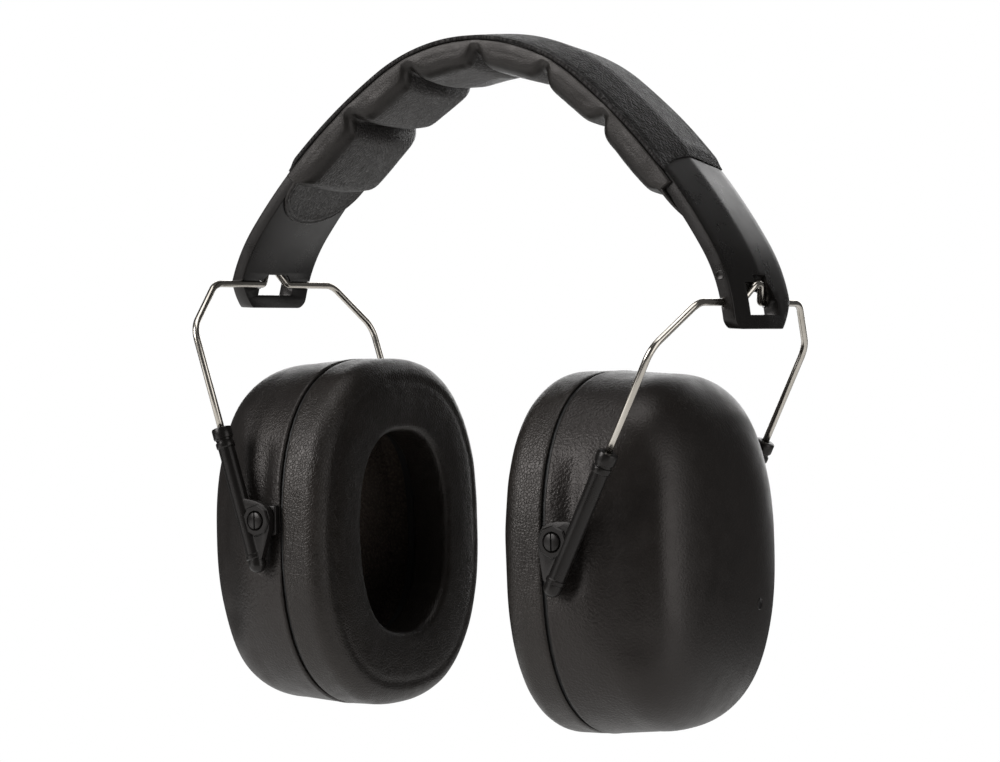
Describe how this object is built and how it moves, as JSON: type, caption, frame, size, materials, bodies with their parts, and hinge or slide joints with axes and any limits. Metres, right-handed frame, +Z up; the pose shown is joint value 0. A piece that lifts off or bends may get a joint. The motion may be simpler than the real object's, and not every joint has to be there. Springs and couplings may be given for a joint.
{
  "type": "hearing protection earmuffs",
  "caption": "Over-the-head hearing protection earmuffs: padded bow, folding wire yokes, sliding arms and tilting oval ear cups with soft seals.",
  "frame": {"origin": "the point on the crown of the wearer's head that the padded headband rests on, midway between the ears", "axes": "+Z up, +Y towards the back of the head, +X towards the right-hand cup as drawn, which is the wearer's left when worn facing -Y"},
  "size_m": [0.1722, 0.096, 0.1955],
  "materials": {
    "bow": "satin",
    "arm": "satin",
    "shell": "fine spark texture",
    "plate": "matte",
    "grained_leatherette": "pebble grain",
    "smooth_leatherette": "fine grain",
    "cushion_leatherette": "fine grain",
    "foam": "open-cell foam",
    "wire": "bright stainless"
  },
  "bodies": {
    "headband": {"headband_bow": "bow", "headband_top_cover": "grained_leatherette", "headband_pad_cover": "smooth_leatherette", "headband_foam": "foam"},
    "left_yoke": {"left_yoke": "wire"},
    "left_front_arm": {"left_front_arm": "arm"},
    "left_rear_arm": {"left_rear_arm": "arm"},
    "left_cup": {"left_shell": "shell", "left_foam_liner": "foam", "left_cushion_plate": "plate", "left_cushion_foam": "foam", "left_cushion_cover": "cushion_leatherette"},
    "right_yoke": {"right_yoke": "wire"},
    "right_front_arm": {"right_front_arm": "arm"},
    "right_rear_arm": {"right_rear_arm": "arm"},
    "right_cup": {"right_shell": "shell", "right_foam_liner": "foam", "right_cushion_plate": "plate", "right_cushion_foam": "foam", "right_cushion_cover": "cushion_leatherette"}
  },
  "joints": [
    {"name": "left_fold", "type": "hinge", "parent": "headband", "child": "left_yoke", "pos_m": [-0.08, 0, -0.058], "axis": [0, 1, 0], "range_deg": [-33, 0]},
    {"name": "left_front_slide", "type": "slide", "parent": "left_yoke", "child": "left_front_arm", "axis": [0.3535, 0, -0.9354], "range_m": [-0.02, 0.012]},
    {"name": "left_rear_slide", "type": "slide", "parent": "left_yoke", "child": "left_rear_arm", "axis": [0.3535, 0, -0.9354], "range_m": [-0.02, 0.012]},
    {"name": "left_cup_tilt", "type": "hinge", "parent": "left_front_arm", "child": "left_cup", "pos_m": [-0.05016, 0, -0.12423], "axis": [0, -1, 0], "range_deg": [-16, 13]},
    {"name": "right_fold", "type": "hinge", "parent": "headband", "child": "right_yoke", "pos_m": [0.08, 0, -0.058], "axis": [0, 1, 0], "range_deg": [0, 33]},
    {"name": "right_front_slide", "type": "slide", "parent": "right_yoke", "child": "right_front_arm", "axis": [0.3891, 0, 0.9212], "range_m": [-0.012, 0.02]},
    {"name": "right_rear_slide", "type": "slide", "parent": "right_yoke", "child": "right_rear_arm", "axis": [0.3891, 0, 0.9212], "range_m": [-0.012, 0.02]},
    {"name": "right_cup_tilt", "type": "hinge", "parent": "right_front_arm", "child": "right_cup", "pos_m": [0.04764, 0, -0.12304], "axis": [0, 1, 0], "range_deg": [-7, 22]}
  ],
  "couplings": [
    {"joint": "left_rear_slide", "follows": "left_front_slide", "ratio": 1},
    {"joint": "right_rear_slide", "follows": "right_front_slide", "ratio": 1}
  ]
}
